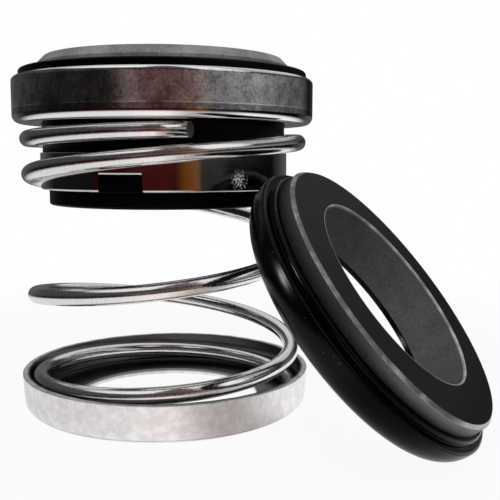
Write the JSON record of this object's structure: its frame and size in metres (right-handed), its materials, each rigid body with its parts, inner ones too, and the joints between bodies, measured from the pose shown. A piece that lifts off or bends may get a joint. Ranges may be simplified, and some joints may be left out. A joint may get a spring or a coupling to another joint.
{
  "type": "component mechanical seal",
  "caption": "Rubber-bellows mechanical seal for a shaft: a spring-loaded rotary unit on its spring holder, with the stationary seat in its rubber cup leaning against it.",
  "frame": {"origin": "on the rotary unit's axis, at the underside of the spring holder, in its shaft hole", "axes": "+Z along the rotary unit's axis, from the spring holder to the running face; +X towards the side where the seat stands; -Y towards the open front"},
  "size_m": [0.0553, 0.0531, 0.0432],
  "materials": {
    "holder_steel": "pressed stainless sheet, satin outside, brighter inside",
    "spring_wire": "bright drawn stainless wire",
    "ring_steel": "turned satin stainless with bright rolled edges",
    "face_carbide": "lapped grey carbide, satin",
    "bellows_rubber": "black moulded rubber, semi-gloss",
    "band_steel": "polished stainless strip, spot welded",
    "seat_carbide": "lapped dark carbide with a pale chamfer",
    "seat_rubber": "black moulded rubber, soft sheen, a little dust"
  },
  "bodies": {
    "base": {"spring_holder": "holder_steel", "spring": "spring_wire", "seat_ring": "seat_carbide", "seat_boot": "seat_rubber"},
    "head": {"drive_ring": "ring_steel", "seal_face": "face_carbide"},
    "tail": {"bellows": "bellows_rubber", "drive_band": "band_steel"}
  },
  "joints": [
    {"name": "face_stroke", "type": "slide", "parent": "base", "child": "head", "axis": [0, 0, 1], "range_m": [-0.0057, 0], "stiffness_N_per_m": 2300, "deforming": ["spring"]},
    {"name": "bellows_flex", "type": "slide", "parent": "head", "child": "tail", "axis": [0, 0, 1], "range_m": [-0.001, 0.001], "stiffness_N_per_m": 5000, "deforming": ["bellows"]}
  ]
}
